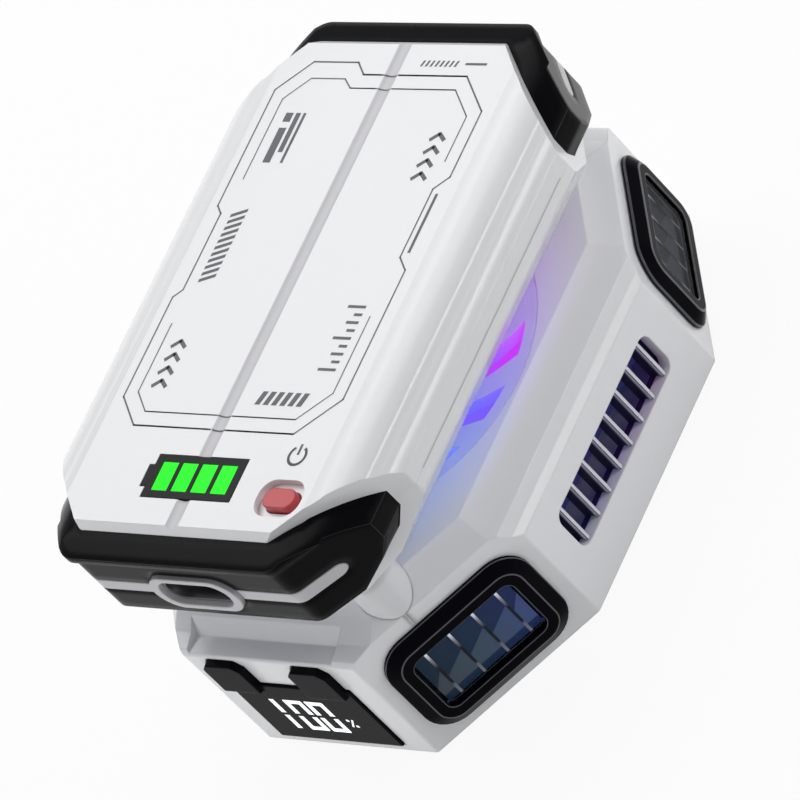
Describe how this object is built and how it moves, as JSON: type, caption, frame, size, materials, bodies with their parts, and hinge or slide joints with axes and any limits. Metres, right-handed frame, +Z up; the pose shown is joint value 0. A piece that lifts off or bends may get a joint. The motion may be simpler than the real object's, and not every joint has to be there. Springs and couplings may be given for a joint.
{
  "type": "phone cooling fan",
  "caption": "Clip-free phone cooling fan: white cut-corner block with a spiral intake grille, corner windows and a display, under a removable battery with black end caps and a charging port.",
  "frame": {"origin": "middle of the face that lies on the phone", "axes": "+X across the cooler towards the power button's side, +Y along it away from the charging port, +Z up from the phone to the battery's top"},
  "size_m": [0.0514, 0.071, 0.038],
  "materials": {
    "shell_white": "gloss moulded",
    "base_grey": "fine matt",
    "pad_rubber": "soft matt",
    "magnet_steel": "nickel plated",
    "plate_aluminium": "lapped",
    "ceramic_white": "unglazed ceramic",
    "fin_aluminium": "dark anodised",
    "matte_black": "moulded",
    "contact_brass": "plated",
    "bright_steel": "bright",
    "coil_copper": "enamelled wire",
    "rotor_plastic": "translucent white",
    "light_plastic": "light guide",
    "gloss_black": "piano black",
    "smoked_pane": "smoked blue",
    "inlay_grey": "satin",
    "cell_wrap": "foil wrap",
    "board_green": "solder mask",
    "level_green": "light guide",
    "button_red": "semi gloss"
  },
  "bodies": {
    "cooler": {"cooler_housing": "shell_white", "base_cover": "base_grey", "contact_pad": "pad_rubber", "magnet_ring": "magnet_steel", "cold_plate": "plate_aluminium", "peltier_module": "ceramic_white", "heat_sink": "fin_aluminium", "fan_frame": "matte_black", "fan_bearing": "contact_brass", "stator_core": "bright_steel", "stator_coils": "coil_copper", "intake_grille": "shell_white", "light_ring": "light_plastic", "near_right_frame": "gloss_black", "near_left_frame": "gloss_black", "far_right_frame": "gloss_black", "far_left_frame": "gloss_black", "near_right_pane": "smoked_pane", "near_left_pane": "smoked_pane", "far_right_pane": "smoked_pane", "far_left_pane": "smoked_pane", "right_grille": "shell_white", "left_grille": "shell_white", "display_panel": "gloss_black", "display_module": "matte_black", "control_board": "board_green", "dock_posts": "shell_white", "dock_block": "matte_black", "dock_pins": "contact_brass", "base_screws": "bright_steel"},
    "fan": {"fan_rotor": "rotor_plastic", "rotor_magnet": "magnet_steel", "fan_shaft": "bright_steel"},
    "battery": {"battery_top_shell": "shell_white", "battery_tray": "shell_white", "near_cap": "gloss_black", "far_cap": "gloss_black", "near_inlay": "inlay_grey", "far_inlay": "inlay_grey", "port_bezel": "inlay_grey", "usb_port": "bright_steel", "battery_cell": "cell_wrap", "battery_board": "board_green", "button_switch": "matte_black", "level_window": "matte_black", "level_bars": "level_green", "battery_contacts": "contact_brass"},
    "button": {"power_button": "button_red"}
  },
  "joints": [
    {"name": "fan_spin", "type": "hinge", "parent": "cooler", "child": "fan", "pos_m": [0, 0, 0.0151], "axis": [0, 0, 1], "continuous": true},
    {"name": "battery_lift", "type": "slide", "parent": "cooler", "child": "battery", "axis": [0, 0, 1], "range_m": [0, 0.012]},
    {"name": "button_press", "type": "slide", "parent": "battery", "child": "button", "axis": [0, 0, -1], "range_m": [0, 0.0006], "stiffness_N_per_m": 500, "springref_m": -0.0003}
  ]
}
